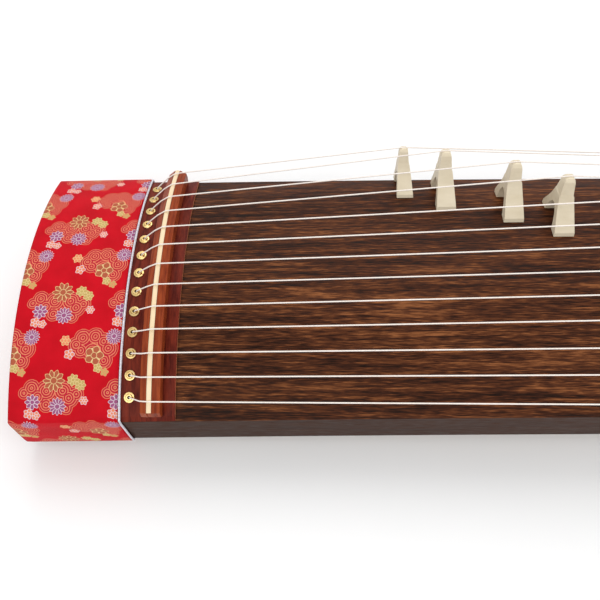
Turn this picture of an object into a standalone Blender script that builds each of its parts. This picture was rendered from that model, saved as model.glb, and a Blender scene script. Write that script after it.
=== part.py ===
# Koto: a thirteen-string long zither with its fitted head cover, resting on its feet.
# Frame: origin on the floor at the middle of the footprint, +Z up, the body lies along X,
# the head end (dragon head) at -X, the player's first string on the -Y side.
import math

import bmesh
import bpy
from mathutils import Matrix, Vector

for old in list(bpy.data.objects):
    bpy.data.objects.remove(old, do_unlink=True)

# Driving dimensions, in metres
LENGTH = 1.820            # six shaku, head end to tail end
HALF = LENGTH / 2
HEAD_HALF = 0.1265        # half width of the top at the head end
TAIL_HALF = 0.1170        # half width at the tail end
ARCH_RADIUS = 0.268       # crosswise curve of the top
LENGTH_SAG = 0.0205       # drop of the crown from the middle to either end
SIDE_HEIGHT = 0.052       # height of the upright side
FOOT_HEIGHT = 0.022       # clear height under the body at the feet
FOOT_X = HALF - 0.110     # the feet stand this far in from the ends
TOP_THICK = 0.014         # carved thickness of the top
SIDE_THICK = 0.012        # carved thickness of the sides
EDGE_ROUND = 0.0015       # small flat where the top meets the side
BACK_THICK = 0.010
GAP = 0.0003              # gap between touching pieces

BLOCK_LENGTH = 0.064      # end blocks inside the shell

HEAD_BRIDGE_X = -HALF + 0.1225    # centre line of the head bridge's inlay
TAIL_BRIDGE_X = HALF - 0.1825     # centre line of the tail bridge's inlay
PLATE_THICK = 0.0025      # rosewood plates on the top
PLATE_BEVEL = 0.0030
HEAD_PLATE_END = 0.0192   # head plate reaches this far past the head bridge
TAIL_PLATE = (-0.0185, 0.0360)
EYELET_BACK = 0.0199      # eyelets lie this far behind the head bridge
TAIL_HOLE_ON = 0.0220     # tail holes lie this far past the tail bridge

STRINGS = 13
STRING_RADIUS = 0.0006
HEAD_SPREAD = 0.418       # half angle of the outer strings on the head bridge
EYELET_SPREAD = 0.410     # half angle of the outer eyelets
TAIL_SPREAD = 0.392       # half angle of the outer strings on the tail bridge
TAIL_HOLE_SPREAD = 0.380
HOLE_RADIUS = 0.0032      # holes through the top for the strings
SOUND_SPREAD = 0.052      # half width of the string band through the rear sound hole

BRIDGE_SPAN = 0.0470      # across the two feet of a movable bridge
BRIDGE_HEIGHT = 0.0490    # string centre above the top at a movable bridge

# Movable bridges of a common pentatonic tuning, placed by ear: distance from the head
# bridge and angle across the arch, string 1 (nearest the audience) to string 13, which
# stands on a smaller one
BRIDGE_PLACES = (
    (0.700, -0.420), (1.040, -0.325), (0.935, -0.258), (0.880, -0.180), (0.705, -0.124),
    (0.665, -0.060), (0.535, -0.002), (0.480, 0.065), (0.445, 0.138), (0.357, 0.222),
    (0.316, 0.289), (0.257, 0.352), (0.221, 0.416),
)
SMALL_BRIDGE = 13
SMALL_SIZE = 0.86


def drop_across(half, radius=ARCH_RADIUS):
    # Drop of the arch from its crown to a distance across it
    return radius - math.sqrt(radius * radius - half * half)


CROWN_MID = (FOOT_HEIGHT + SIDE_HEIGHT + drop_across(0.1215)
             + LENGTH_SAG * (FOOT_X / HALF) ** 2)


def crown(x):
    return CROWN_MID - LENGTH_SAG * (x / HALF) ** 2


def crown_slope(x):
    return -2 * LENGTH_SAG * x / HALF ** 2


def half_width(x):
    toward_head = (HALF - x) / LENGTH
    return TAIL_HALF + (HEAD_HALF - TAIL_HALF) * toward_head ** 2


def under(x):
    # Height of the body's flat underside
    return crown(x) - drop_across(0.1215) - SIDE_HEIGHT


def on_top(x, angle, lift=0.0):
    # A point over the arched top, at an angle across it and a height along its normal
    reach = ARCH_RADIUS + lift
    return Vector((x, reach * math.sin(angle), crown(x) - ARCH_RADIUS + reach * math.cos(angle)))


def top_at(x, y, lift=0.0):
    reach = ARCH_RADIUS + lift
    return crown(x) - ARCH_RADIUS + math.sqrt(reach * reach - y * y)


def spread(first, last, count):
    return [first + (last - first) * i / (count - 1) for i in range(count)]


parts = bpy.data.collections.new("koto")
tools = bpy.data.collections.new("cutters")
for group in (parts, tools):
    bpy.context.scene.collection.children.link(group)


def material(name, colour, roughness, metallic=0.0):
    made = bpy.data.materials.new(name)
    made.use_nodes = True
    shader = made.node_tree.nodes["Principled BSDF"]
    shader.inputs["Base Color"].default_value = (*colour, 1.0)
    shader.inputs["Roughness"].default_value = roughness
    shader.inputs["Metallic"].default_value = metallic
    return made


SCORCHED = material("scorched paulownia", (0.060, 0.026, 0.013), 0.45)
PAULOWNIA = material("bare paulownia", (0.48, 0.33, 0.20), 0.7)
ROSEWOOD = material("rosewood", (0.150, 0.022, 0.011), 0.35)
BRIGHT_ROSEWOOD = material("orange rosewood", (0.290, 0.050, 0.016), 0.35)
INLAY = material("cream inlay", (0.86, 0.72, 0.48), 0.4)
BRASS = material("brass", (0.78, 0.60, 0.30), 0.3, 1.0)
SILK = material("white string", (0.80, 0.66, 0.62), 0.5)
IVORY = material("cream plastic", (0.80, 0.72, 0.56), 0.4)
BROCADE = material("red brocade", (0.70, 0.004, 0.018), 0.8)
PIPING = material("pale piping", (0.62, 0.60, 0.66), 0.7)


def add_object(name, mesh, look, group=parts, smooth=True):
    made = bpy.data.objects.new(name, mesh)
    group.objects.link(made)
    if look is not None:
        mesh.materials.clear()
        mesh.materials.append(look)
    if smooth:
        mesh.shade_smooth()
        mesh.set_sharp_from_angle(angle=math.radians(35))
    return made


def loft(name, rings, look, group=parts):
    # Joins rings of equal count, one after the other along their way, and caps both ends
    shape = bmesh.new()
    rows = [[shape.verts.new(point) for point in ring] for ring in rings]
    count = len(rings[0])
    for row, after in zip(rows, rows[1:]):
        for i in range(count):
            j = (i + 1) % count
            shape.faces.new((row[i], row[j], after[j], after[i]))
    shape.faces.new(list(reversed(rows[0])))
    shape.faces.new(rows[-1])
    bmesh.ops.recalc_face_normals(shape, faces=shape.faces)
    mesh = bpy.data.meshes.new(name)
    shape.to_mesh(mesh)
    shape.free()
    return add_object(name, mesh, look, group)


def as_cutter(cutter):
    for group in list(cutter.users_collection):
        group.objects.unlink(cutter)
    tools.objects.link(cutter)
    cutter.hide_render = True
    cutter.display_type = "WIRE"
    return cutter


def cut(target, cutter, operation="DIFFERENCE"):
    boolean = target.modifiers.new("cut " + cutter.name, "BOOLEAN")
    boolean.object = cutter
    boolean.operation = operation
    boolean.solver = "EXACT"
    return boolean


def normal_frame(x, angle):
    # Axes of a piece that stands on the top: along the string, across it, away from the top
    along = Vector((1, 0, crown_slope(x))).normalized()
    away = Vector((-crown_slope(x), math.tan(angle), 1)).normalized()
    across = away.cross(along)
    origin = on_top(x, angle)
    return Matrix((
        (along.x, across.x, away.x, origin.x),
        (along.y, across.y, away.y, origin.y),
        (along.z, across.z, away.z, origin.z),
        (0, 0, 0, 1),
    ))


# Body shell
# One plank, carved hollow from below: an arched top on two upright sides, swept along the
# body's gentle lengthwise curve and narrowing to the tail.
def shell_ring(x):
    half = half_width(x)
    low = under(x)
    inner = half - SIDE_THICK
    outer_arch = [(y, top_at(x, y)) for y in spread(-half + EDGE_ROUND, half - EDGE_ROUND, 19)]
    inner_arch = [(y, top_at(x, y, -TOP_THICK)) for y in spread(inner, -inner, 13)]
    ring = [(-half, top_at(x, half) - EDGE_ROUND)] + outer_arch
    ring += [(half, top_at(x, half) - EDGE_ROUND), (half, low), (inner, low)]
    ring += inner_arch + [(-inner, low), (-half, low)]
    return [(x, y, z) for y, z in ring]


shell = loft("body_shell", [shell_ring(x) for x in spread(-HALF, HALF, 15)], SCORCHED)


def string_angle(number, outer):
    return -outer + 2 * outer * (number - 1) / (STRINGS - 1)


def peg_row(name, x, outer, radius, deep, high):
    # A row of pegs along the arch's normals, to bore the string holes with
    shape = bmesh.new()
    for number in range(1, STRINGS + 1):
        angle = string_angle(number, outer)
        place = Matrix.Translation(on_top(x, angle, (high - deep) / 2))
        place = place @ Matrix.Rotation(-angle, 4, "X")
        bmesh.ops.create_cone(shape, cap_ends=True, segments=8, radius1=radius, radius2=radius,
                              depth=high + deep, matrix=place)
    mesh = bpy.data.meshes.new(name)
    shape.to_mesh(mesh)
    shape.free()
    return as_cutter(add_object(name, mesh, None, tools, smooth=False))


head_holes = peg_row("head holes", HEAD_BRIDGE_X - EYELET_BACK, EYELET_SPREAD, HOLE_RADIUS,
                     TOP_THICK + 0.004, 0.008)
tail_holes = peg_row("tail holes", TAIL_BRIDGE_X + TAIL_HOLE_ON, TAIL_HOLE_SPREAD, 0.0024,
                     TOP_THICK + 0.004, 0.008)
cut(shell, head_holes)
cut(shell, tail_holes)


# End blocks
# Solid plugs that close the hollow at the head and at the tail.
def plug_ring(x):
    inner = half_width(x) - SIDE_THICK - GAP
    low = under(x)
    arch = [(y, top_at(x, y, -TOP_THICK - GAP)) for y in spread(-inner, inner, 15)]
    return [(x, y, z) for y, z in arch + [(inner, low), (-inner, low)]]


loft("head_block", [plug_ring(x) for x in (-HALF, -HALF + BLOCK_LENGTH)], PAULOWNIA)
loft("tail_block", [plug_ring(x) for x in (HALF - BLOCK_LENGTH, HALF)], PAULOWNIA)


# Back board
# It closes the hollow between the sides and follows the lengthwise curve. Two sound holes
# pierce it: a long one near the head and a wide one near the tail.
def board_ring(x):
    inner = half_width(x) - SIDE_THICK - GAP
    low = under(x)
    return [(x, -inner, low), (x, inner, low), (x, inner, low + BACK_THICK),
            (x, -inner, low + BACK_THICK)]


BOARD_END = HALF - BLOCK_LENGTH - GAP
board = loft("back_board", [board_ring(x) for x in spread(-BOARD_END, BOARD_END, 17)], PAULOWNIA)

HEAD_SOUND_HOLE = (-HALF + 0.1800, 0.105, 0.046)   # centre, length along X, width across
TAIL_SOUND_HOLE = (HALF - 0.1070, 0.046, 0.140)


def sound_hole(name, place):
    # An upright plug with round ends, drawn as a flat outline and raised
    centre, long, wide = place
    radius = min(long, wide) / 2
    reach_x = long / 2 - radius
    reach_y = wide / 2 - radius
    outline = []
    for i in range(24):
        turn = 2 * math.pi * (i + 0.5) / 24
        outline.append((centre + radius * math.cos(turn) + math.copysign(reach_x, math.cos(turn)),
                        radius * math.sin(turn) + math.copysign(reach_y, math.sin(turn))))
    low = under(centre) - 0.01
    rings = [[(x, y, z) for x, y in outline] for z in (low, low + BACK_THICK + 0.02)]
    return as_cutter(loft(name, rings, None, tools))


cut(board, sound_hole("head sound hole", HEAD_SOUND_HOLE))
cut(board, sound_hole("tail sound hole", TAIL_SOUND_HOLE))


# Inner braces
# Three crosswise boards tie the sides, each with an arched notch so the air passes.
def brace(name, x):
    rings = []
    for at in (x - 0.005, x + 0.005):
        inner = half_width(at) - SIDE_THICK - GAP
        low = under(at) + BACK_THICK + GAP
        arch = [(y, top_at(at, y, -TOP_THICK - GAP)) for y in spread(-inner, inner, 13)]
        notch = [(0.055 * math.cos(turn), low + 0.026 * math.sin(turn))
                 for turn in spread(0.0, math.pi, 9)]
        ring = arch + [(inner, low)] + notch + [(-inner, low)]
        rings.append([(at, y, z) for y, z in ring])
    loft(name, rings, PAULOWNIA)


brace("brace_head", -HALF + 0.510)
brace("brace_middle", 0.050)
brace("brace_tail", HALF - 0.410)


# String plates
# Thin rosewood plates over the top, bevelled along both sides, bored for the strings.
def plate_ring(x):
    half = half_width(x)
    wide = math.asin(half / ARCH_RADIUS)
    narrow = math.asin((half - PLATE_BEVEL) / (ARCH_RADIUS + PLATE_THICK))
    ring = [on_top(x, a, GAP) for a in spread(-wide, wide, 15)]
    ring += [on_top(x, a, PLATE_THICK) for a in spread(narrow, -narrow, 15)]
    return ring


head_plate = loft("head_string_plate", [
    plate_ring(x) for x in (-HALF, HEAD_BRIDGE_X - 0.050, HEAD_BRIDGE_X + HEAD_PLATE_END)], ROSEWOOD)
cut(head_plate, head_holes)
tail_plate = loft("tail_string_plate", [
    plate_ring(TAIL_BRIDGE_X + reach) for reach in TAIL_PLATE], ROSEWOOD)
cut(tail_plate, tail_holes)


# Oak-leaf plate
# It caps the tail end; its front edge is drawn in three pairs of lobes like an oak leaf.
LEAF_DEPTH = 0.052


def leaf_ring(angle):
    share = angle / 0.44
    lobes = 0.011 * abs(math.cos(3.5 * math.pi * share)) ** 0.7
    front = HALF - LEAF_DEPTH + 0.016 * share * share - lobes + 0.006
    back = HALF
    return [on_top(front, angle, GAP), on_top(front + 0.0008, angle, PLATE_THICK),
            on_top(back, angle, PLATE_THICK), on_top(back, angle, GAP)]


LEAF_ANGLE = math.asin((TAIL_HALF - 0.001) / (ARCH_RADIUS + PLATE_THICK))
loft("oak_leaf_plate", [leaf_ring(a) for a in spread(-LEAF_ANGLE, LEAF_ANGLE, 43)], ROSEWOOD)


# Head and tail bridges
# Fixed crosswise ridges. Their section is a steep back, a shoulder, a slope up to the inlay
# and a lower front; it runs round the arch, and both ends are cut off at a slant.
def ridge_profile(back, front, shoulder, peak, fall):
    # Points along X and up from the plate: base, back face, slope, groove for the inlay, front
    return [(-back, GAP), (-back + 0.0010, shoulder), (-0.0026, peak - 0.0006),
            (-0.0023, peak - 0.0006), (-0.0023, peak - 0.0022), (0.0023, peak - 0.0022),
            (0.0023, peak - 0.0006), (0.0026, peak - 0.0006), (front, fall), (front, GAP)]


def ridge(name, centre, profile, wide, overhang, look):
    rings = []
    stations = [(a, 1.0) for a in spread(-wide, wide, 15)]
    for angle, share in [(-wide - overhang, 0.45)] + stations + [(wide + overhang, 0.45)]:
        rings.append([on_top(centre + x, angle, PLATE_THICK + max(GAP, z * share))
                      for x, z in profile])
    return loft(name, rings, look)


def inlay(name, centre, peak, wide):
    section = [(-0.0020, peak - 0.0019), (-0.0020, peak - 0.0005), (-0.0010, peak),
               (0.0010, peak), (0.0020, peak - 0.0005), (0.0020, peak - 0.0019)]
    rings = [[on_top(centre + x, a, PLATE_THICK + z) for x, z in section]
             for a in spread(-wide, wide, 15)]
    return loft(name, rings, INLAY)


HEAD_PEAK = 0.0150
HEAD_SHOULDER = 0.0100
TAIL_PEAK = 0.0120
TAIL_SHOULDER = 0.0080
ridge("head_bridge", HEAD_BRIDGE_X,
      ridge_profile(0.0095, 0.0085, HEAD_SHOULDER, HEAD_PEAK, 0.0110), 0.4530, 0.0150,
      BRIGHT_ROSEWOOD)
inlay("head_bridge_inlay", HEAD_BRIDGE_X, HEAD_PEAK, 0.4515)
tail_profile = [(-x, z) for x, z in
                ridge_profile(0.0095, 0.0085, TAIL_SHOULDER, TAIL_PEAK, 0.0085)]
ridge("tail_bridge", TAIL_BRIDGE_X, tail_profile, 0.4290, 0.0120, BRIGHT_ROSEWOOD)
inlay("tail_bridge_inlay", TAIL_BRIDGE_X, TAIL_PEAK, 0.4275)


# Eyelets
# Turned brass ferrules set in the head plate: a flange, a raised ring and a bored shank.
EYELET_PROFILE = ((0.0015, 0.0017), (0.0026, 0.0017), (0.0032, 0.0010), (0.0045, 0.0009),
                  (0.0048, GAP), (0.0027, GAP), (0.0027, -0.0042), (0.0015, -0.0042))


def eyelet(number):
    mesh = bpy.data.meshes.new("eyelet profile")
    count = len(EYELET_PROFILE)
    mesh.from_pydata([(r, 0, z) for r, z in EYELET_PROFILE],
                     [(i, (i + 1) % count) for i in range(count)], [])
    made = add_object(f"head_eyelet_{number:02d}", mesh, BRASS, smooth=False)
    screw = made.modifiers.new("turn", "SCREW")
    screw.axis = "Z"
    screw.angle = 2 * math.pi
    screw.steps = screw.render_steps = 12
    screw.use_merge_vertices = True
    screw.merge_threshold = 0.00005
    screw.use_smooth_shade = True
    x = HEAD_BRIDGE_X - EYELET_BACK
    frame = normal_frame(x, string_angle(number, EYELET_SPREAD))
    made.matrix_world = frame @ Matrix.Translation((0, 0, PLATE_THICK))
    return made


for number in range(1, STRINGS + 1):
    eyelet(number)


# Movable bridges
# A bridge stands on two feet that fit the arch. Its front outline is an upside-down Y; seen
# along the arch it is thick at the feet and thin at the top, with an upright head-side face.
def bridge_outline(size):
    # The front outline, across and up: one outer side over the top, then the inner arch
    foot = size * BRIDGE_SPAN / 2
    tall = size * BRIDGE_HEIGHT
    sole = [(foot - size * inset, -drop_across(foot - size * inset) + GAP)
            for inset in (0.0, 0.0100)]
    outer = [sole[0]]
    for inset, share in ((0.0003, 0.065), (0.0040, 0.185), (0.0080, 0.300), (0.0118, 0.425),
                         (0.0148, 0.560), (0.0168, 0.680), (0.0180, 0.820), (0.0186, 0.930)):
        outer.append((foot - size * inset, share * tall))
    outer += [(size * 0.0034, tall - 0.0004), (size * 0.0020, tall + 0.0003),
              (0.0008, tall - 0.0010)]
    inner = [(size * y, size * z) for y, z in ((0.0042, 0.0186), (0.0082, 0.0140),
                                               (0.0110, 0.0080))]
    inner += [(sole[1][0] - 0.0005, size * 0.0018), sole[1]]
    left = [(-y, z) for y, z in reversed(outer)]
    left_inner = [(-y, z) for y, z in reversed(inner)]
    return outer + left + left_inner + [(0.0, size * 0.0200)] + inner


def bridge_mesh(size):
    outline = bridge_outline(size)
    front = loft("bridge front", [[(x, y, z) for y, z in outline] for x in (-0.02, 0.02)],
                 IVORY)
    tall = size * BRIDGE_HEIGHT
    side = [(-0.0070, -0.09), (0.0114, -0.09), (0.0108, 0.05), (0.0086, 0.38), (0.0064, 0.635),
            (0.0056, 0.655), (0.0044, 0.900)]
    side = [(size * x, share * tall) for x, share in side]
    side += [(0.0036, tall - 0.0016), (0.0014, tall + 0.0004), (-0.0016, tall + 0.0004),
             (-0.0042, tall - 0.0018)]
    back = [(-0.0052, 0.900), (-0.0060, 0.655), (-0.0064, 0.635), (-0.0066, 0.380)]
    side += [(size * x, share * tall) for x, share in back]
    half = size * BRIDGE_SPAN / 2 + 0.01
    cutter = loft("bridge side", [[(x, y, z) for x, z in side] for y in (-half, half)],
                  None, tools)
    as_cutter(cutter)
    cut(front, cutter, "INTERSECT")
    bpy.context.view_layer.update()
    done = bpy.data.meshes.new_from_object(front.evaluated_get(
        bpy.context.evaluated_depsgraph_get()))
    done.name = "movable bridge"
    bpy.data.objects.remove(front, do_unlink=True)
    bpy.data.objects.remove(cutter, do_unlink=True)
    return done


def bridge_size(number):
    return SMALL_SIZE if number == SMALL_BRIDGE else 1.0


bridge_shape = bridge_mesh(1.0)
small_bridge_shape = bridge_mesh(SMALL_SIZE)
BRIDGE_FRAMES = {}
for number, (reach, angle) in enumerate(BRIDGE_PLACES, start=1):
    shape = small_bridge_shape if number == SMALL_BRIDGE else bridge_shape
    made = add_object(f"bridge_{number:02d}", shape, IVORY)
    BRIDGE_FRAMES[number] = normal_frame(HEAD_BRIDGE_X + reach, angle)
    made.matrix_world = BRIDGE_FRAMES[number]


# Strings
# Each is knotted inside the head, comes up through its eyelet, bends over the head bridge,
# its movable bridge and the tail bridge, goes down through the tail, leaves by the rear
# sound hole, turns round the tail end and ends on the oak-leaf plate.
KNOT_RADIUS = 0.0022


def string_route(number):
    # Points of the route with the tube's relative thickness at each
    head = string_angle(number, HEAD_SPREAD)
    hole = string_angle(number, EYELET_SPREAD)
    tail = string_angle(number, TAIL_SPREAD)
    tail_hole = string_angle(number, TAIL_HOLE_SPREAD)
    band = string_angle(number, SOUND_SPREAD)
    clear = STRING_RADIUS + GAP
    knot = KNOT_RADIUS / STRING_RADIUS
    eye = HEAD_BRIDGE_X - EYELET_BACK
    plate = PLATE_THICK
    route = [
        (on_top(eye, hole, -TOP_THICK - 0.0100), knot * 0.7),
        (on_top(eye, hole, -TOP_THICK - 0.0075), knot),
        (on_top(eye, hole, -TOP_THICK - 0.0045), 1.0),
        (on_top(eye, hole, plate + 0.0008), 1.0),
        (on_top(eye + 0.0011, hole + 0.1 * (head - hole), plate + 0.0028), 1.0),
        (on_top(HEAD_BRIDGE_X - 0.0086, head, plate + HEAD_SHOULDER + clear + 0.0004), 1.0),
        (on_top(HEAD_BRIDGE_X - 0.0004, head, plate + HEAD_PEAK + clear + 0.0005), 1.0),
        (BRIDGE_FRAMES[number] @ Vector((0, 0, bridge_size(number) * BRIDGE_HEIGHT)), 1.0),
        (on_top(TAIL_BRIDGE_X + 0.0004, tail, plate + TAIL_PEAK + clear + 0.0004), 1.0),
        (on_top(TAIL_BRIDGE_X + 0.0090, tail, plate + TAIL_SHOULDER + clear + 0.0003), 1.0),
        (on_top(TAIL_BRIDGE_X + TAIL_HOLE_ON - 0.0010, tail_hole, plate + 0.0012), 1.0),
        (on_top(TAIL_BRIDGE_X + TAIL_HOLE_ON, tail_hole, -TOP_THICK - 0.0010), 1.0),
    ]
    # Inside the hollow, then under the tail and up its end
    slip = 0.0020
    x, y = TAIL_SOUND_HOLE[0], band
    low = under(x)
    route.append((Vector((x - 0.012, y * 1.15, low + BACK_THICK + 0.014)), 1.0))
    route.append((Vector((x, y, low + 0.006)), 1.0))
    route.append((Vector((x + 0.010, y, low - slip)), 1.0))
    for x, z in ((0.0002, -0.0011), (0.0011, -0.0002)):
        route.append((Vector((HALF + x, y, under(HALF) + z)), 1.0))
    end = top_at(HALF, y, PLATE_THICK)
    for x, z in ((0.0011, 0.0002), (0.0002, 0.0011)):
        route.append((Vector((HALF + x, y, end + z)), 1.0))
    for x, lift, share in ((-0.0240, clear, 1.0), (-0.0262, 0.0021, knot * 0.7),
                           (-0.0290, clear, 1.0)):
        route.append((Vector((HALF + x, y, top_at(HALF + x, y, plate + lift))), share))
    return route


def tube(name, route, radius, look, resolution=1):
    curve = bpy.data.curves.new(name, "CURVE")
    curve.dimensions = "3D"
    curve.bevel_depth = radius
    curve.bevel_resolution = resolution
    curve.use_fill_caps = True
    line = curve.splines.new("POLY")
    line.points.add(len(route) - 1)
    for point, (place, share) in zip(line.points, route):
        point.co = (*place, 1.0)
        point.radius = share
    made = bpy.data.objects.new(name, curve)
    parts.objects.link(made)
    curve.materials.append(look)
    return made


for number in range(1, STRINGS + 1):
    tube(f"string_{number:02d}", string_route(number), STRING_RADIUS, SILK)


# Head cover
# A fitted brocade cap over the head: top, both sides and the upright end. Its skirt swells
# a little at the foot and turns under the sides; below, it stops short of the front foot.
COVER_RIM = HEAD_BRIDGE_X - 0.0295
COVER_UNDER = -HALF + 0.0560      # the part under the head ends here
COVER_EASE = 0.0006
COVER_THICK = 0.0014
SKIRT_SWELL = 0.0008
END_SWELL = 0.0035         # the cloth stands out this far at the foot of the head end
SKIRT_TURN = 0.0090


def cover_ring(x, low, swell):
    half = half_width(x) + COVER_EASE
    angle = math.asin(half / (ARCH_RADIUS + PLATE_THICK))
    edge = crown(x) - ARCH_RADIUS + (ARCH_RADIUS + PLATE_THICK + COVER_EASE) * math.cos(angle)
    tall = edge - low
    ring = []
    for a in spread(-angle + 0.004, angle - 0.004, 19):
        p = on_top(x, a, PLATE_THICK + COVER_EASE)
        ring.append((p.y, p.z))
    sides = [(half, edge - 0.10 * tall), (half + 0.25 * swell, edge - 0.35 * tall),
             (half + 0.70 * swell, edge - 0.62 * tall), (half + swell, edge - 0.84 * tall),
             (half + 0.75 * swell, low - 0.0004), (half - 0.25 * SKIRT_TURN, low - COVER_EASE),
             (half - SKIRT_TURN, low - COVER_EASE)]
    belly = [(y, low - COVER_EASE) for y in spread(0.07, -0.07, 5)]
    ring += sides + belly + [(-y, z) for y, z in reversed(sides)]
    return [(x, y, z) for y, z in ring]


def head_cover():
    start = -HALF - COVER_EASE
    end_ring = []
    for x, y, z in cover_ring(start, under(start), SKIRT_SWELL):
        fall = min(1.0, max(0.0, (top_at(start, abs(y)) - z) / SIDE_HEIGHT))
        end_ring.append((x - END_SWELL * fall, y, z))
    rings = [end_ring]
    for x in (-HALF + 0.0160, COVER_UNDER, -HALF + 0.0740, COVER_RIM):
        rings.append(cover_ring(x, under(x), SKIRT_SWELL))
    count = len(rings[0])
    first_belly = 19 + 7
    belly = range(first_belly - 1, first_belly + 5)
    shape = bmesh.new()
    rows = [[shape.verts.new(point) for point in ring] for ring in rings]
    for number, (row, after) in enumerate(zip(rows, rows[1:])):
        for i in range(count):
            if number >= 2 and i in belly:
                continue
            j = (i + 1) % count
            shape.faces.new((row[i], row[j], after[j], after[i]))
    shape.faces.new(list(reversed(rows[0])))
    bmesh.ops.delete(shape, geom=[v for v in shape.verts if not v.link_faces], context="VERTS")
    bmesh.ops.recalc_face_normals(shape, faces=shape.faces)
    if sum(f.normal.z * f.calc_area() for f in shape.faces if f.calc_center_median().z > 0.07) < 0:
        bmesh.ops.reverse_faces(shape, faces=shape.faces)
    mesh = bpy.data.meshes.new("head_cover")
    shape.to_mesh(mesh)
    shape.free()
    made = add_object("head_cover", mesh, BROCADE)
    cloth = made.modifiers.new("cloth", "SOLIDIFY")
    cloth.thickness = COVER_THICK
    cloth.offset = 1.0
    return made


head_cover()


# Cover piping
# A thin pale cord sewn along the cover's rim, from one skirt over the top to the other.
def piping_route():
    # It follows the middle of the cloth, just past its rim
    ring = cover_ring(COVER_RIM, under(COVER_RIM), SKIRT_SWELL)
    keep = ring[-6:] + ring[:19 + 6]
    route = []
    points = [Vector(p) for p in keep]
    for i, p in enumerate(points):
        before = points[max(i - 1, 0)]
        after = points[min(i + 1, len(points) - 1)]
        along = (after - before).normalized()
        out = Vector((0, -along.z, along.y))
        if out.dot(p - Vector((p.x, 0, 0.06))) < 0:
            out = -out
        route.append((Vector((COVER_RIM + PIPING_RADIUS + GAP, p.y, p.z))
                      + out * COVER_THICK / 2, 1.0))
    return route


PIPING_RADIUS = 0.0010
tube("cover_piping", piping_route(), PIPING_RADIUS, PIPING)


# Feet
# In front one crosswise rail stands on two rounded paws; at the back stand two small feet.
def paw_rail():
    half = 0.098
    deep = 0.0115
    x = -FOOT_X - 0.0050
    outline = []
    for y in spread(-half, half, 33):
        share = abs(y) / half
        if share > 0.96:
            low = 0.0040
        elif share > 0.58:
            low = 0.0
        else:
            low = 0.0135 * math.cos(share / 0.58 * math.pi / 2) ** 0.5
        outline.append((y, low))
    shape = [(y, z, False) for y, z in outline]
    shape += [(half, 0, True), (-half, 0, True)]
    rings = []
    for at, inset in ((x - deep, 0.002), (x - deep + 0.003, 0.0), (x + deep - 0.003, 0.0),
                      (x + deep, 0.002)):
        ring = []
        for y, z, high in shape:
            y = y * (1 - inset / half)
            ring.append((at, y, under(at) - GAP if high else z + inset * 0.5))
        rings.append(ring)
    return loft("front_foot", rings, ROSEWOOD)


def rear_foot(name, side):
    # A small block, wider above, its sole rounded off at the rim
    rings = []
    for share, size in ((0.0, 0.0085), (0.12, 0.0100), (0.55, 0.0115), (1.0, 0.0130)):
        ring = []
        for i in range(20):
            turn = 2 * math.pi * i / 20
            x = FOOT_X + 0.004 + size * math.copysign(abs(math.cos(turn)) ** 0.6, math.cos(turn))
            y = side * 0.0910 + 1.1 * size * math.copysign(abs(math.sin(turn)) ** 0.6,
                                                           math.sin(turn))
            ring.append((x, y, share * (under(x) - GAP)))
        rings.append(ring)
    return loft(name, rings, ROSEWOOD)


paw_rail()
rear_foot("rear_foot_left", -1)
rear_foot("rear_foot_right", 1)

# Frame
# The origin is the middle of the whole footprint, from the cover's end to the strings that
# turn round the tail.
REACH_HEAD = COVER_EASE + END_SWELL + COVER_THICK
REACH_TAIL = 0.0011 + STRING_RADIUS
for group in (parts, tools):
    for made in group.objects:
        made.matrix_world = Matrix.Translation(((REACH_HEAD - REACH_TAIL) / 2, 0, 0)) @ (
            made.matrix_basis)
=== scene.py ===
# Koto with its fitted head cover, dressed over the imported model; metres, in the model's frame.
import math

import bpy
from mathutils import Matrix, Vector


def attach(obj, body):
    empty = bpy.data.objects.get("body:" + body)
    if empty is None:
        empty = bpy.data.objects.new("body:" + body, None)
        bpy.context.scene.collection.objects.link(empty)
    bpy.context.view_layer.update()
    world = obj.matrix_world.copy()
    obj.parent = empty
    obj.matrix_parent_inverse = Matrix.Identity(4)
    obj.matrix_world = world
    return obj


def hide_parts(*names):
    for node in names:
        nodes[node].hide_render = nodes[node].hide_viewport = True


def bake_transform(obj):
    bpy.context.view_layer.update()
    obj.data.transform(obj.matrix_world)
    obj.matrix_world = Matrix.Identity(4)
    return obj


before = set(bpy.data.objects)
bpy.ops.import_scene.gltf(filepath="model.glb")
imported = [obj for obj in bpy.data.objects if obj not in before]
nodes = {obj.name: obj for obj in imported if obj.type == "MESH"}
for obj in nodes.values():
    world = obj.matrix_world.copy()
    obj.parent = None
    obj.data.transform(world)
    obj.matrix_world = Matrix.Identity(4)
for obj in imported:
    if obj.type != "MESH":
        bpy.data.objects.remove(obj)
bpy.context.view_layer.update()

scene = bpy.context.scene

# Body shell
# One board of paulownia, carved hollow from below and arched across and along. Its top is
# scorched and brushed until orange streaks show beside the dark; the sides are smoother.
CHARRED, DARK_GRAIN = (0.010, 0.003, 0.001), (0.040, 0.011, 0.004)
BROWN_GRAIN, ORANGE_STREAK = (0.090, 0.026, 0.008), (0.260, 0.092, 0.030)
SIDE_DARK, SIDE_LIGHT = (0.020, 0.006, 0.002), (0.055, 0.018, 0.007)
SPECULAR = 0.09


def wrap(tree, value):
    return value if isinstance(value, Value) else Value(tree, value)


def add_node(tree, kind, sockets, out=0, stops=(), **settings):
    # Settings and a ramp's stops come first, then each socket, by its name or its number
    node = tree.nodes.new(kind)
    for name, setting in settings.items():
        setattr(node, name, setting)
    points = node.color_ramp.elements if stops else ()
    while len(points) < len(stops):
        points.new(0.5)
    for point, (position, colour) in zip(points, stops):
        point.position = position
        point.color = (*colour, 1.0)
    for socket, value in sockets.items():
        wrap(tree, value).into(node.inputs[socket])
    return Value(tree, node.outputs[out])


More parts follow.
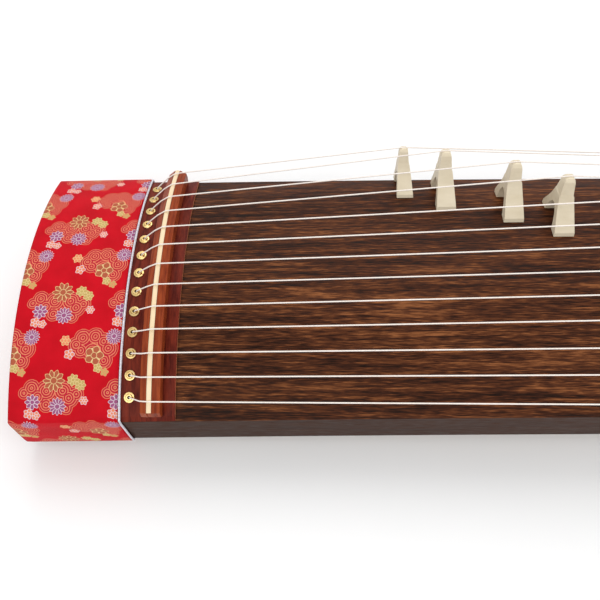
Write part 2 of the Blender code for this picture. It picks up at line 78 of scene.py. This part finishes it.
class Value:
    # A socket or a constant with the usual operators; each operation adds one Math node
    def __init__(self, tree, source):
        self.tree, self.source = tree, source

    def into(self, socket):
        if isinstance(self.source, bpy.types.NodeSocket):
            self.tree.links.new(self.source, socket)
        else:
            socket.default_value = self.source

    def math(self, operation, *others, **settings):
        return add_node(self.tree, "ShaderNodeMath", dict(enumerate((self, *others))),
                        operation=operation, **settings)

    def inside(self, soft=0.3):
        # 1 where a distance is below zero, with a short soft edge
        return self.math("MULTIPLY_ADD", -1.0 / soft, 0.5, use_clamp=True)

    def __add__(self, other):
        return self.math("ADD", other)

    def __sub__(self, other):
        return self.math("SUBTRACT", other)

    def __rsub__(self, other):
        return wrap(self.tree, other).math("SUBTRACT", self)

    def __mul__(self, other):
        return self.math("MULTIPLY", other)

    __radd__ = __add__
    __rmul__ = __mul__


class Look:
    # A material being made: its tree, its Principled shader and the nodes it calls for
    def __init__(self, name, roughness, metallic=0.0, coat=0.0):
        self.material = bpy.data.materials.new(name)
        self.material.use_nodes = True
        self.tree = self.material.node_tree
        self.shader = self.tree.nodes["Principled BSDF"]
        self.shader.inputs["Roughness"].default_value = roughness
        self.shader.inputs["Metallic"].default_value = metallic
        self.shader.inputs["Coat Weight"].default_value = coat
        self.shader.inputs["Specular IOR Level"].default_value = SPECULAR

    def node(self, kind, sockets, **settings):
        return add_node(self.tree, kind, sockets, **settings)

    def place(self, scale=(1, 1, 1)):
        own = self.node("ShaderNodeTexCoord", {}, out="Object")
        return self.node("ShaderNodeMapping", {"Vector": own, "Scale": scale})

    def noise(self, where, scale, detail=4.0, distortion=0.0, out=0):
        return self.node("ShaderNodeTexNoise", {"Vector": where, "Scale": scale,
                         "Detail": detail, "Distortion": distortion}, out=out)

    def facing(self, axis):
        # How far the surface looks along an axis, from -1 to 1
        normal = self.node("ShaderNodeNewGeometry", {}, out="Normal")
        return self.node("ShaderNodeSeparateXYZ", {"Vector": normal}, out=axis)

    def between(self, value, low, high, to_low=0.0, to_high=1.0):
        return self.node("ShaderNodeMapRange", {"Value": value, "From Min": low,
                         "From Max": high, "To Min": to_low, "To Max": to_high})

    def ramp(self, fac, *stops):
        return self.node("ShaderNodeValToRGB", {0: fac}, stops=stops)

    def mix(self, fac, first, second):
        # Sockets 0, 6 and 7 are the factor and the two colours, and 2 is the mixed colour
        first, second = ((*c, 1.0) if isinstance(c, tuple) else c for c in (first, second))
        return self.node("ShaderNodeMix", {0: fac, 6: first, 7: second}, out=2,
                         data_type="RGBA")

    def colour(self, value):
        value.into(self.shader.inputs["Base Color"])

    def rough(self, value):
        value.into(self.shader.inputs["Roughness"])

    def bump(self, height, strength, distance=0.001):
        bumped = self.node("ShaderNodeBump", {"Strength": strength, "Distance": distance,
                                              "Height": height})
        bumped.into(self.shader.inputs["Normal"])


def dress(look, *names):
    for name in names:
        data = nodes[name].data
        data.materials.clear()
        data.materials.append(look.material)


body = Look("scorched paulownia", 0.46)
streaks = body.noise(body.place((1.6, 40.0, 40.0)), 6.0, 8.0, 0.5)
pores = body.noise(body.place((26.0, 340.0, 340.0)), 3.0, 5.0, 0.3)
flame = body.noise(body.place((1.2, 9.0, 9.0)), 2.4, 3.0, 0.5)
top_colour = body.ramp(streaks * 0.58 + pores * 0.70 + flame * 0.24 - 0.26, (0.34, CHARRED),
                       (0.46, DARK_GRAIN), (0.56, BROWN_GRAIN), (0.72, ORANGE_STREAK))
side_colour = body.ramp(streaks * 0.5 + pores * 0.5, (0.35, SIDE_DARK), (0.65, SIDE_LIGHT))
body.colour(body.mix(body.between(body.facing("Z"), 0.15, 0.5), side_colour, top_colour))
body.rough(body.between(pores, 0.3, 0.7, 0.34, 0.62))
body.bump(pores * 0.6 + streaks * 0.6, 0.35, 0.0008)
dress(body, "body_shell")

# Back board, end blocks and braces
# The back board closes the shell from below and has the two sound holes. The blocks and
# braces, of the same pale wood left bare, are glued inside.
BARE_DARK, BARE_LIGHT = (0.36, 0.22, 0.12), (0.56, 0.40, 0.24)
bare = Look("bare paulownia", 0.7)
bare_grain = bare.noise(bare.place((1.0, 30.0, 30.0)), 4.0, 6.0, 0.4)
bare.colour(bare.ramp(bare_grain, (0.35, BARE_DARK), (0.65, BARE_LIGHT)))
bare.bump(bare_grain, 0.15)
dress(bare, "back_board", "head_block", "tail_block", "brace_head", "brace_middle", "brace_tail")

# String plates, leaf plate and feet
# Rosewood, deep red-brown with fine dark veins. The plates are thin and glued over the top's ends,
# and the feet are glued under the body. Every face that looks towards the tail has a painted
# highlight.
PLATE_DARK, PLATE_LIGHT = (0.070, 0.007, 0.004), (0.180, 0.024, 0.011)
# The colour of the painted highlight on faces that look towards the tail
PLATE_PAINTED_HIGHLIGHT = (0.42, 0.150, 0.070)


def veined(name, roughness, scale, dark, light, painted_tailward_highlight=None):
    look = Look(name, roughness)
    veins = look.noise(look.place(scale), 6.0, 6.0, 0.5)
    fine = look.noise(look.place(tuple(4 * s for s in scale)), 6.0, 3.0)
    colour = look.ramp(veins * 0.6 + fine * 0.4, (0.36, dark), (0.62, light))
    # Painted highlight: faces that look towards the tail are mixed towards a lighter colour
    if painted_tailward_highlight:
        colour = look.mix(look.between(look.facing("X"), 0.4, 0.6), colour, painted_tailward_highlight)
    look.colour(colour)
    look.bump(veins * 0.5 + fine * 0.5, 0.12, 0.0005)
    return look


plate = veined("rosewood plate", 0.38, (40.0, 5.0, 5.0), PLATE_DARK, PLATE_LIGHT, PLATE_PAINTED_HIGHLIGHT)
dress(plate, "head_string_plate", "tail_string_plate", "oak_leaf_plate", "front_foot",
      "rear_foot_left", "rear_foot_right")

# Fixed bridges
# A ridge of brighter, orange rosewood is glued across each end of the top and lifts all
# thirteen strings.
RIDGE_DARK, RIDGE_LIGHT = (0.155, 0.020, 0.006), (0.330, 0.062, 0.017)
ridge = veined("orange rosewood", 0.36, (60.0, 3.5, 3.5), RIDGE_DARK, RIDGE_LIGHT)
dress(ridge, "head_bridge", "tail_bridge")

# Inlays of the fixed bridges
# A hard cream strip is let into the crest of each ridge, so that the strings don't cut into
# the wood.
CREAM_DARK, CREAM_LIGHT = (0.76, 0.57, 0.35), (0.84, 0.68, 0.46)
cream = Look("cream inlay", 0.4, coat=0.2)
cream_grain = cream.noise(cream.place((30.0, 4.0, 4.0)), 8.0)
cream.colour(cream.ramp(cream_grain, (0.3, CREAM_DARK), (0.7, CREAM_LIGHT)))
dress(cream, "head_bridge_inlay", "tail_bridge_inlay")

# Eyelets
# Rings turned from brass and pressed through the head plate, one for each string, which
# comes up through it.
STRINGS = range(1, 14)
BRASS_DARK, BRASS_LIGHT = (0.74, 0.50, 0.18), (0.95, 0.72, 0.34)
brass = Look("brass", 0.28, metallic=1.0)
brass.colour(brass.ramp(brass.noise(brass.place(), 400.0), (0.3, BRASS_DARK), (0.7, BRASS_LIGHT)))
dress(brass, *(f"head_eyelet_{number:02d}" for number in STRINGS))

# Movable bridges
# Thirteen bridges moulded in cream plastic, slightly mottled and soft at the edges. Nothing
# fixes them: each stands on the top under its string's pressure and slides by hand.
IVORY_DARK, IVORY_LIGHT = (0.68, 0.59, 0.43), (0.75, 0.66, 0.50)
EDGE_ROUND = 0.0005
SHARP_ANGLE = math.radians(35)
ivory = Look("cream plastic", 0.38, coat=0.1)
ivory_mottle = ivory.noise(ivory.place((1, 1, 3)), 60.0)
ivory.colour(ivory.ramp(ivory_mottle, (0.3, IVORY_DARK), (0.7, IVORY_LIGHT)))
ivory.bump(ivory.noise(ivory.place(), 900.0), 0.05, 0.0002)
for number in STRINGS:
    dress(ivory, f"bridge_{number:02d}")
    soft = nodes[f"bridge_{number:02d}"].modifiers.new("soft edges", "BEVEL")
    soft.width = EDGE_ROUND
    soft.segments = 2
    soft.limit_method = "ANGLE"
    soft.angle_limit = SHARP_ANGLE

# Strings
# Twisted white strings, knotted under the eyelets and led over both fixed bridges and round the
# tail. Each is two tubes that meet over its movable bridge. The sizes repeat the solids' own;
# SHIFT is how far those were moved along to centre the footprint.
SHIFT = 0.0019
LENGTH = 1.820
HALF = LENGTH / 2
ARCH_RADIUS = 0.268
LENGTH_SAG = 0.0205
FOOT_X = HALF - 0.110
FOOT_HEIGHT = 0.022
SIDE_HEIGHT = 0.052
SIDE_AT = 0.1215
PLATE_THICK = 0.0025

HEAD_BRIDGE_X = -HALF + 0.1225
TAIL_BRIDGE_X = HALF - 0.1825
HEAD_PEAK, TAIL_PEAK = 0.0150, 0.0120
EYELET_BACK = 0.0199
TAIL_HOLE_ON = 0.0220
SOUND_HOLE_X = HALF - 0.107

# Half the string band, as an angle on the arch at the top and in metres at the sound hole
HEAD_SPREAD, EYELET_SPREAD = 0.418, 0.410
TAIL_SPREAD, TAIL_HOLE_SPREAD = 0.392, 0.380
SOUND_SPREAD = 0.052

STRING_RADIUS = 0.0006
KNOT_RADIUS = 0.0022
BRIDGE_HEIGHT = 0.0490
SMALL_BRIDGE, SMALL_SIZE = 13, 0.86
STRING_DARK, STRING_LIGHT = (0.76, 0.68, 0.62), (0.94, 0.88, 0.82)

# Distance from the head bridge and angle across the arch, string 1 to string 13
BRIDGE_PLACES = (
    (0.700, -0.420), (1.040, -0.325), (0.935, -0.258), (0.880, -0.180), (0.705, -0.124),
    (0.665, -0.060), (0.535, -0.002), (0.480, 0.065), (0.445, 0.138), (0.357, 0.222),
    (0.316, 0.289), (0.257, 0.352), (0.221, 0.416),
)


def drop_across(half):
    # Drop of the arch from its crown to a distance across it
    return ARCH_RADIUS - math.sqrt(ARCH_RADIUS ** 2 - half ** 2)


CROWN_MID = (FOOT_HEIGHT + SIDE_HEIGHT + drop_across(SIDE_AT)
             + LENGTH_SAG * (FOOT_X / HALF) ** 2)


def crown(x):
    return CROWN_MID - LENGTH_SAG * (x / HALF) ** 2


def under(x):
    # Height of the body's underside, which is flat across
    return crown(x) - drop_across(SIDE_AT) - SIDE_HEIGHT


def on_top(x, angle, lift=0.0):
    # A point over the arched top, at an angle across it and a height along its normal
    reach = ARCH_RADIUS + lift
    return Vector((x + SHIFT, reach * math.sin(angle),
                   crown(x) - ARCH_RADIUS + reach * math.cos(angle)))


def top_at(x, y, lift):
    # Height of the arched top at a distance across it, raised by a lift along its normal
    reach = ARCH_RADIUS + lift
    return crown(x) - ARCH_RADIUS + math.sqrt(reach * reach - y * y)


def at(x, y, z):
    return Vector((x + SHIFT, y, z))


def head_side(share, nut, apex):
    # From the knot under the eyelet, over the head bridge, to the movable bridge; each point
    # comes with its thickness as a share of the string's
    knot = KNOT_RADIUS / STRING_RADIUS
    x = HEAD_BRIDGE_X - EYELET_BACK
    hole, head = EYELET_SPREAD * share, HEAD_SPREAD * share
    return [
        (on_top(x, hole, -0.0240), knot * 0.7), (on_top(x, hole, -0.0215), knot),
        (on_top(x, hole, -0.0185), 1.0), (on_top(x, hole, PLATE_THICK + 0.0008), 1.0),
        (on_top(x + 0.0011, hole + 0.1 * (head - hole), PLATE_THICK + 0.0028), 1.0),
        (on_top(HEAD_BRIDGE_X - 0.0086, head, PLATE_THICK + 0.0113), 1.0),
        (nut, 1.0), (nut.lerp(apex, 0.33), 1.0), (nut.lerp(apex, 0.67), 1.0), (apex, 1.0)]


def tail_side(share, apex, saddle):
    # From the movable bridge over the tail bridge, through the plate, out of the sound hole,
    # round the end and back to the knot on the leaf plate
    knot = KNOT_RADIUS / STRING_RADIUS
    hole, tail, y = TAIL_HOLE_SPREAD * share, TAIL_SPREAD * share, SOUND_SPREAD * share
    low = under(SOUND_HOLE_X)
    end_low, end_top = under(HALF), top_at(HALF, y, PLATE_THICK)
    route = [
        (apex, 1.0), (apex.lerp(saddle, 0.33), 1.0), (apex.lerp(saddle, 0.67), 1.0),
        (saddle, 1.0), (on_top(TAIL_BRIDGE_X + 0.0090, tail, PLATE_THICK + 0.0092), 1.0),
        (on_top(TAIL_BRIDGE_X + TAIL_HOLE_ON - 0.0010, hole, PLATE_THICK + 0.0012), 1.0),
        (on_top(TAIL_BRIDGE_X + TAIL_HOLE_ON, hole, -0.0150), 1.0),
        (at(SOUND_HOLE_X - 0.012, y * 1.15, low + 0.024), 1.0),
        (at(SOUND_HOLE_X, y, low + 0.006), 1.0), (at(SOUND_HOLE_X + 0.010, y, low - 0.002), 1.0),
        (at(HALF + 0.0002, y, end_low - 0.0011), 1.0),
        (at(HALF + 0.0011, y, end_low - 0.0002), 1.0),
        (at(HALF + 0.0011, y, end_top + 0.0002), 1.0),
        (at(HALF + 0.0002, y, end_top + 0.0011), 1.0)]
    for back, lift, thick in ((0.0240, 0.0009, 1.0), (0.0262, 0.0021, knot * 0.7),
                              (0.0290, 0.0009, 1.0)):
        x = HALF - back
        route.append((at(x, y, top_at(x, y, PLATE_THICK + lift)), thick))
    return route


def tube(name, route, look):
    # One mesh tube with eight sides through the route's points
    curve = bpy.data.curves.new(name, "CURVE")
    curve.dimensions = "3D"
    curve.bevel_depth = STRING_RADIUS
    curve.bevel_resolution = 2
    curve.use_fill_caps = True
    line = curve.splines.new("POLY")
    line.points.add(len(route) - 1)
    for point, (where, thick) in zip(line.points, route):
        point.co = (*where, 1.0)
        point.radius = thick
    drawn = bpy.data.objects.new(name + " line", curve)
    scene.collection.objects.link(drawn)
    bpy.context.view_layer.update()
    mesh = bpy.data.meshes.new_from_object(
        drawn.evaluated_get(bpy.context.evaluated_depsgraph_get()))
    bpy.data.objects.remove(drawn, do_unlink=True)
    mesh.name = name
    mesh.materials.clear()
    mesh.materials.append(look.material)
    mesh.shade_smooth()
    made = bpy.data.objects.new(name, mesh)
    scene.collection.objects.link(made)
    return made


silk = Look("white string", 0.5)
twist = silk.noise(silk.place(), 1200.0)
silk.colour(silk.ramp(twist, (0.3, STRING_DARK), (0.7, STRING_LIGHT)))
silk.bump(silk.noise(silk.place(), 2500.0), 0.25, 0.0002)
MIDDLE_STRING = (STRINGS[0] + STRINGS[-1]) / 2
for number in STRINGS:
    # From -1 at string 1 to 1 at string 13
    share = (number - MIDDLE_STRING) / (STRINGS[-1] - MIDDLE_STRING)
    distance, angle = BRIDGE_PLACES[number - 1]
    tall = BRIDGE_HEIGHT * (SMALL_SIZE if number == SMALL_BRIDGE else 1.0)
    x = HEAD_BRIDGE_X + distance
    slope = -2 * LENGTH_SAG * x / HALF ** 2
    apex = on_top(x, angle) + Vector((-slope, math.tan(angle), 1)).normalized() * tall
    nut = on_top(HEAD_BRIDGE_X - 0.0004, HEAD_SPREAD * share, PLATE_THICK + HEAD_PEAK + 0.0014)
    saddle = on_top(TAIL_BRIDGE_X + 0.0004, TAIL_SPREAD * share, PLATE_THICK + TAIL_PEAK + 0.0013)
    played = tube(f"string_{number:02d}_head_side", head_side(share, nut, apex), silk)
    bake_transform(played)
    after = tube(f"string_{number:02d}_tail_side", tail_side(share, apex, saddle), silk)
    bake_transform(after)
    for piece in (played, after):
        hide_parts(f"string_{number:02d}")

# Head cover
# A cap of red brocade, sewn to fit the head end and pulled over it. The cloth follows the
# solid's own sections, finer, and carries its flat place in millimetres as UV; the woven
# clouds and roundels are worked out on that.
HEAD_HALF = 0.1265
TAIL_HALF = 0.1170
COVER_EASE = 0.0006
COVER_END = -HALF - COVER_EASE
COVER_RIM = HEAD_BRIDGE_X - 0.0295
CLOTH_THICK = 0.0012
TOP_POINTS = 31
CORNER_ANGLE = 0.004
SKIRT_SWELL = 0.0008
SKIRT_FOLD = 0.0023
SKIRT_TURN = 0.0090

# The flap over the head end is drawn in from the top and sides to its middle, and stands out
# towards its foot. Nothing is drawn in from below, so a low wedge under the middle stays open.
FLAP_STEPS = 8
FLAP_DRAW = 0.97
FLAP_MIDDLE_Z = 0.045
FLAP_SWELL = 0.0035
FLAP_CLEAR = 0.0006
FLAP_EDGE = 0.0004
FLAP_CORNER_Y = 0.12
ARC_FOR_WIDTH = 1.03
MM = 1000


def spread(first, last, count):
    return [first + (last - first) * i / (count - 1) for i in range(count)]


def half_width(x):
    return TAIL_HALF + (HEAD_HALF - TAIL_HALF) * ((HALF - x) / (2 * HALF)) ** 2


def cover_ring(x):
    # One section of the cloth as (y, z, way along the cloth from the crown)
    low = under(x)
    half = half_width(x) + COVER_EASE
    angle = math.asin(half / (ARCH_RADIUS + PLATE_THICK))
    edge = (crown(x) - ARCH_RADIUS
            + (ARCH_RADIUS + PLATE_THICK + COVER_EASE) * math.cos(angle))
    tall = edge - low
    line = [on_top(x, a, PLATE_THICK + COVER_EASE)[1:]
            for a in spread(0.0, angle - CORNER_ANGLE, TOP_POINTS)]
    skirt = [line[-1], (half, edge - 0.10 * tall), (half + 0.25 * SKIRT_SWELL, edge - 0.35 * tall),
             (half + 0.70 * SKIRT_SWELL, edge - 0.62 * tall),
             (half + SKIRT_SWELL, edge - 0.84 * tall), (half + 0.75 * SKIRT_SWELL, low - 0.0004),
             (half - SKIRT_FOLD, low - COVER_EASE), (half - SKIRT_TURN, low - COVER_EASE)]
    for a, b in zip(skirt, skirt[1:]):
        line += [(a[0] + (b[0] - a[0]) * t, a[1] + (b[1] - a[1]) * t)
                 for t in spread(0.25, 1, 4)]
    way, points = 0.0, [(*line[0], 0.0)]
    for a, b in zip(line, line[1:]):
        way += math.dist(a, b)
        points.append((*b, way))
    return [(-y, z, -w) for y, z, w in reversed(points[1:])] + points


def flap_row(step):
    # One ring of the flap as (x, y, z, u, v)
    size = 1 - FLAP_DRAW * (step / FLAP_STEPS)
    row = []
    for ring_y, ring_z, _ in cover_ring(COVER_END):
        y = ring_y * size
        z = FLAP_MIDDLE_Z + (ring_z - FLAP_MIDDLE_Z) * size
        near_y = min(abs(y), FLAP_CORNER_Y)
        fall = min(1.0, max(0.0, (top_at(COVER_END, near_y, PLATE_THICK) - z) / SIDE_HEIGHT))
        x = COVER_END - FLAP_SWELL * fall + (0.0 if step else FLAP_EDGE) - FLAP_CLEAR
        down = top_at(COVER_END, y, PLATE_THICK) - z
        row.append((x, y, z, MM * (COVER_RIM - COVER_END) + MM * down, MM * y * ARC_FOR_WIDTH))
    return row


cap_rows = []
for x in ([COVER_END] + spread(COVER_END + 0.001, -HALF + 0.016, 5)
          + spread(-HALF + 0.025, COVER_RIM, 14)):
    cap_rows.append([(x, y, z, MM * (COVER_RIM - x), MM * w) for y, z, w in cover_ring(x)])
brow = flap_row(0)
cap_rows[0] = [(over[0], *point[1:]) for over, point in zip(brow, cap_rows[0])]
rows = cap_rows + [flap_row(step) for step in range(1, FLAP_STEPS + 1)]
across = len(brow)
verts = [(x + SHIFT, y, z) for row in rows for x, y, z, _, _ in row]
flat = [point[3:] for row in rows for point in row]
flat_from_brow = [point[3:] for point in brow] + flat[across:]
faces, uvs = [], []


def lay(first, second, flat_places):
    # One strip of quads between two rows; each corner carries its own place on the cloth
    for i in range(across - 1):
        corners = (first * across + i, first * across + i + 1,
                   second * across + i + 1, second * across + i)
        faces.append(corners)
        uvs.extend(flat_places[corner] for corner in corners)


for row_number in range(len(cap_rows) - 1):
    lay(row_number + 1, row_number, flat)
lay(0, len(cap_rows), flat_from_brow)
for row_number in range(len(cap_rows), len(rows) - 1):
    lay(row_number, row_number + 1, flat)
cover_mesh = bpy.data.meshes.new("head_cover_cloth")
cover_mesh.from_pydata(verts, [], faces)
layer = cover_mesh.uv_layers.new(name="cloth")
for loop, flat_place in zip(layer.data, uvs):
    loop.uv = flat_place
cover_mesh.shade_smooth()
cover = bpy.data.objects.new("head_cover_cloth", cover_mesh)
scene.collection.objects.link(cover)
cloth = cover.modifiers.new("cloth", "SOLIDIFY")
cloth.thickness = CLOTH_THICK
cloth.offset = 1.0
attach(cover, "koto")
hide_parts("head_cover")

# The cloth's colours; its repeat, the pitch of a cloud's lines and half a line, in millimetres
RED_DARK, RED_LIGHT, RED_SHADE = (0.47, 0.001, 0.008), (0.56, 0.002, 0.011), (0.30, 0.01, 0.012)
SALMON, GOLD, PALE_GOLD = (0.74, 0.24, 0.12), (0.50, 0.36, 0.12), (0.72, 0.56, 0.26)
VIOLET, SILVER = (0.30, 0.09, 0.20), (0.70, 0.62, 0.68)
CLOUD_FILL, ROUNDEL_FILL = (0.42, 0.020, 0.045), (0.40, 0.10, 0.05)
REPEAT_ALONG, REPEAT_ROUND, MOTIF_SIZE = 72.0, 78.0, 1.08
CLOUD_PITCH, LINE_HALF = 1.9, 0.22

# A cloud is a union of lobes, each x, y and radius
WIDE_CLOUD = ((-24, 0, 4.5), (-18, 4, 6.5), (-13, -3, 7.5), (-6, 1.5, 8.5), (-6, -9, 6),
              (7, 1.5, 8), (12, -4, 8), (18, -1, 6), (10, -12, 5))
ROUND_CLOUD = ((-15, 1.5, 6.5), (-10, 7, 7), (0, 8, 7), (7, 4, 7), (-11, -3, 6),
               (-1.5, -4, 8), (11, -1.5, 8), (8, -11, 7))

# A flower is its centre, radius, number of petals, fill and line
WIDE_FLOWERS = (
    ((-0.5, 9.5), 8.6, 10, ROUNDEL_FILL, PALE_GOLD), ((-17, -7), 6.0, 8, VIOLET, SILVER),
    ((3, -10.5), 6.8, 12, VIOLET, SILVER), ((15, 10), 4.8, 7, GOLD, PALE_GOLD),
    ((21, 6), 4.4, 7, GOLD, PALE_GOLD), ((24, -6), 3.4, 6, SALMON, SILVER),
    ((-20, -16), 4.0, 5, SALMON, SILVER), ((-14, -17.5), 3.4, 5, SALMON, SILVER),
)
ROUND_FLOWERS = (
    ((15, 8), 6.4, 16, VIOLET, SILVER), ((0, -7), 7.6, 5, ROUNDEL_FILL, PALE_GOLD),
    ((3.5, -17), 3.6, 5, GOLD, PALE_GOLD), ((9, -20), 3.4, 5, GOLD, SALMON),
    ((-24, 5), 4.2, 6, SALMON, PALE_GOLD), ((-20, -6), 4.2, 5, SALMON, SILVER),
)

brocade = Look("red brocade", 0.66)


def vector(operation, *values, out=0):
    return brocade.node("ShaderNodeVectorMath", dict(enumerate(values)), out=out,
                        operation=operation)


def split(place):
    made = brocade.node("ShaderNodeSeparateXYZ", {"Vector": place}).source.node
    return [Value(brocade.tree, socket) for socket in made.outputs]


def cell(start_along, start_round):
    # The place measured from the middle of the nearest repeat of a cluster
    x = (along - start_along).math("WRAP", REPEAT_ALONG / 2, -REPEAT_ALONG / 2)
    y = (round_it - start_round).math("WRAP", REPEAT_ROUND / 2, -REPEAT_ROUND / 2)
    return brocade.node("ShaderNodeCombineXYZ",
                        {"X": x * (-1 / MOTIF_SIZE), "Y": y * (1 / MOTIF_SIZE)})


def far_from(where, centre):
    return vector("DISTANCE", where, (*centre, 0.0), out=1)


def cloud(colour, where, lobes, line):
    # Lobes outlined and filled with evenly spaced inner lines, as a woven cloud is
    least = None
    for x, y, radius in lobes:
        gap = far_from(where, (x, y)) - radius
        least = gap if least is None else least.math("MINIMUM", gap)
    ripple = (least * (2 * math.pi / CLOUD_PITCH) + 1.2).math("SINE")
    lines = (0.35 - ripple).inside(0.5) * (least - 0.2).inside()
    colour = brocade.mix(least.inside() * 0.7, colour, CLOUD_FILL)
    return brocade.mix(lines * 0.9, colour, line)


def flower(colour, where, centre, radius, petals, fill, line):
    # A roundel of petals with an outline, lines between the petals and a ringed eye
    far = far_from(where, centre)
    x, y, _ = split(vector("SUBTRACT", where, (*centre, 0.0)))
    wave = (y.math("ARCTAN2", x) * petals).math("COSINE")
    edge = far - radius * 0.88 - wave * (radius * 0.12)
    filled = edge.inside()
    rim = (edge.math("ABSOLUTE") - LINE_HALF).inside(0.25)
    eye = ((far - radius * 0.30).math("ABSOLUTE") - LINE_HALF).inside(0.25)
    veins = (wave + 0.80).inside() * filled * (radius * 0.34 - far).inside()
    drawn = rim.math("MAXIMUM", eye).math("MAXIMUM", veins)
    return brocade.mix(drawn, brocade.mix(filled, colour, fill), line)


uv = brocade.node("ShaderNodeTexCoord", {}, out="UV")
wobble = vector("SUBTRACT", brocade.noise(uv, 0.35, 2.0, out=1), (0.5, 0.5, 0.5))
cloth_at = vector("MULTIPLY_ADD", wobble, (1.1, 1.1, 0.0), uv)
along, round_it, _ = split(cloth_at)
wide, compact = cell(55.0, 49.0), cell(22.0, 10.0)
colour = brocade.ramp(brocade.noise(cloth_at, 0.05, 2.0), (0.3, RED_DARK), (0.7, RED_LIGHT))
colour = cloud(colour, wide, WIDE_CLOUD, SALMON)
colour = cloud(colour, compact, ROUND_CLOUD, SALMON)
for where, flowers in ((wide, WIDE_FLOWERS), (compact, ROUND_FLOWERS)):
    for one in flowers:
        colour = flower(colour, where, *one)
weave = brocade.noise(cloth_at, 2.2, 3.0)
thread = (along * 9.0).math("SINE") * (round_it * 9.0).math("SINE")
brocade.colour(brocade.mix((0.5 - weave) * 0.9 + 0.05, colour, RED_SHADE))
brocade.rough(brocade.between(weave, 0.3, 0.7, 0.5, 0.75))
brocade.bump(weave * 0.6 + thread * 0.25, 0.25, 0.0004)
cover_mesh.materials.append(brocade.material)

# Piping
# A thin pale cord of twisted thread, sewn along the cover's rim, where it hides the cut edge
# of the cloth.
PIPING_DARK, PIPING_LIGHT = (0.50, 0.48, 0.54), (0.78, 0.76, 0.80)
piping = Look("pale piping", 0.8)
piping_twist = piping.noise(piping.place(), 900.0)
piping.colour(piping.ramp(piping_twist, (0.35, PIPING_DARK), (0.65, PIPING_LIGHT)))
piping.bump(piping.noise(piping.place(), 1500.0), 0.3, 0.0003)
dress(piping, "cover_piping")

# Floor
# A plain pale floor, 8 m square. It is only the stage and not a piece of the koto, and from
# low down its far edge shows.
FLOOR_HALF = 4
FLOOR_DARK, FLOOR_LIGHT = (0.90, 0.90, 0.90), (0.93, 0.93, 0.93)
pale = Look("pale floor", 0.9)
pale.colour(pale.ramp(pale.noise(pale.place(), 3.0), (0.3, FLOOR_DARK), (0.7, FLOOR_LIGHT)))
floor_corners = [(FLOOR_HALF * x, FLOOR_HALF * y, 0)
                 for x, y in ((-1, -1), (1, -1), (1, 1), (-1, 1))]
floor_mesh = bpy.data.meshes.new("floor")
floor_mesh.from_pydata(floor_corners, [], [(0, 1, 2, 3)])
floor_mesh.materials.append(pale.material)
floor = bpy.data.objects.new("floor", floor_mesh)
scene.collection.objects.link(floor)

# Light
# A soft white studio: an even sky, which the camera sees as pure white, and three large lamps,
# one over the back, one in front of the head and one at the tail.
WHITE = (1, 1, 1, 1)
SKY_STRENGTH = 0.75
world = bpy.data.worlds.new("studio")
scene.world = world
world.use_nodes = True
sky = world.node_tree
sky.nodes.clear()
seen = add_node(sky, "ShaderNodeBackground", {"Color": WHITE})
lit = add_node(sky, "ShaderNodeBackground", {"Color": WHITE, "Strength": SKY_STRENGTH})
to_camera = add_node(sky, "ShaderNodeLightPath", {}, out="Is Camera Ray")
either = add_node(sky, "ShaderNodeMixShader", {0: to_camera, 1: lit, 2: seen})
either.into(sky.nodes.new("ShaderNodeOutputWorld").inputs["Surface"])


def lamp(name, place, aim, size, power):
    data = bpy.data.lights.new(name, "AREA")
    data.size = size
    data.energy = power
    made = bpy.data.objects.new(name, data)
    scene.collection.objects.link(made)
    made.location = place
    made.rotation_euler = (Vector(aim) - Vector(place)).to_track_quat("-Z", "Y").to_euler()


lamp("lamp over the back", (-0.5, 1.1, 1.5), (-0.5, 0.0, 0.1), 1.6, 16.0)
lamp("lamp in front", (-1.2, -1.3, 1.3), (-0.6, 0.0, 0.1), 1.4, 9.0)
lamp("lamp at the tail", (1.0, -0.6, 1.5), (0.5, 0.0, 0.1), 1.4, 8.0)

# Camera
# It stands above the near side of the head end, turned as the photograph was taken. Its place
# is measured from the crown over the head bridge, and its lens from the picture's width.
FOCAL_PIXELS, PICTURE_PIXELS, SENSOR = 661.4, 600, 36.0
PITCH, YAW, ROLL = 1.09485, 0.03178, -0.02263
AHEAD, NEARER, ABOVE = 0.13175, 0.28878, 0.51189
camera_data = bpy.data.cameras.new("camera")
camera_data.sensor_width = SENSOR
camera_data.lens = FOCAL_PIXELS / PICTURE_PIXELS * SENSOR
camera = bpy.data.objects.new("camera", camera_data)
scene.collection.objects.link(camera)
scene.camera = camera
turn = (Matrix.Rotation(YAW, 3, "Z") @ Matrix.Rotation(math.pi / 2 - PITCH, 3, "X")
        @ Matrix.Rotation(ROLL, 3, "Z"))
stand = at(HEAD_BRIDGE_X + AHEAD, -NEARER, crown(HEAD_BRIDGE_X) + ABOVE)
camera.matrix_world = Matrix.Translation(stand) @ turn.to_4x4()
scene.view_settings.view_transform = "Standard"
